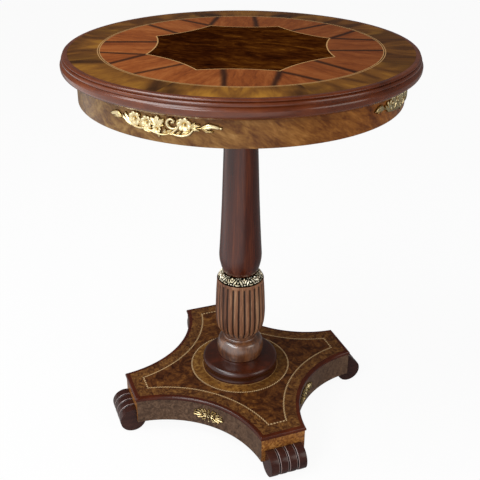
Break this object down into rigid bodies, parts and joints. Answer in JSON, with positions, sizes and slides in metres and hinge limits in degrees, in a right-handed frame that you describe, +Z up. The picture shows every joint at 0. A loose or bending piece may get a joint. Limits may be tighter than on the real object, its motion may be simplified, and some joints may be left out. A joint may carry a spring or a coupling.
{
  "type": "side table",
  "caption": "Round side table with a star marquetry top, gilt-mounted apron, reeded vase column and a concave-sided plinth on scroll feet.",
  "frame": {"origin": "on the floor, under the axis of the column, at the middle of the footprint", "axes": "+Z up along the column; the plinth's hollow sides and the gilt mounts face +X, -X, +Y and -Y, and the feet stand on the diagonals"},
  "size_m": [0.6, 0.6, 0.728],
  "materials": {
    "rim_mahogany": "dark red-brown French polish",
    "star_burl": "very dark figured burl, polished",
    "fan_mahogany": "red-brown crotch veneer, polished",
    "crossband_wood": "golden olive to brown cross-grained veneer, polished",
    "apron_burl": "tan and grey-brown burl veneer, polished",
    "carcass_wood": "plain unpolished softwood",
    "shaft_mahogany": "dark red-brown French polish",
    "vase_wood": "mid-brown polish on plain grain",
    "bun_wood": "glossy grey-brown polish",
    "disc_wood": "very dark glossy red-brown polish",
    "plinth_burl": "grey-brown burl veneer, polished",
    "plinth_burr": "golden burr veneer, polished",
    "plinth_field_burl": "dark figured burl veneer, polished",
    "moulding_wood": "dark red glossy polish",
    "foot_wood": "dark purple-brown glossy polish",
    "gilt": "pale gilding over cast metal",
    "steel": "plain turned steel"
  },
  "bodies": {
    "root": {"top_core": "carcass_wood", "top_lipping": "rim_mahogany", "star_veneer": "star_burl", "fan_axis_leaves": "fan_mahogany", "fan_corner_leaves": "fan_mahogany", "fan_side_leaves": "fan_mahogany", "crossband_veneers": "crossband_wood", "apron_ring": "apron_burl", "apron_glue_blocks": "carcass_wood", "cross_bearer_lower": "carcass_wood", "cross_bearer_upper": "carcass_wood", "upper_shaft": "shaft_mahogany", "column_collar": "gilt", "reeded_vase": "vase_wood", "column_bun": "bun_wood", "base_disc": "disc_wood", "tie_rod": "steel", "plinth_board": "carcass_wood", "rod_block": "carcass_wood", "plinth_border_veneers": "plinth_burr", "plinth_field_veneer": "plinth_field_burl", "plinth_side_mouldings": "moulding_wood", "plinth_end_mouldings": "moulding_wood", "scroll_feet": "foot_wood", "plinth_rail_right": "plinth_burl", "apron_mount_right": "gilt", "plinth_mount_right": "gilt", "plinth_rail_back": "plinth_burl", "apron_mount_back": "gilt", "plinth_mount_back": "gilt", "plinth_rail_left": "plinth_burl", "apron_mount_left": "gilt", "plinth_mount_left": "gilt", "plinth_rail_front": "plinth_burl", "apron_mount_front": "gilt", "plinth_mount_front": "gilt", "corner_block_back_right": "plinth_burl", "corner_block_back_left": "plinth_burl", "corner_block_front_left": "plinth_burl", "corner_block_front_right": "plinth_burl"}
  },
  "joints": []
}
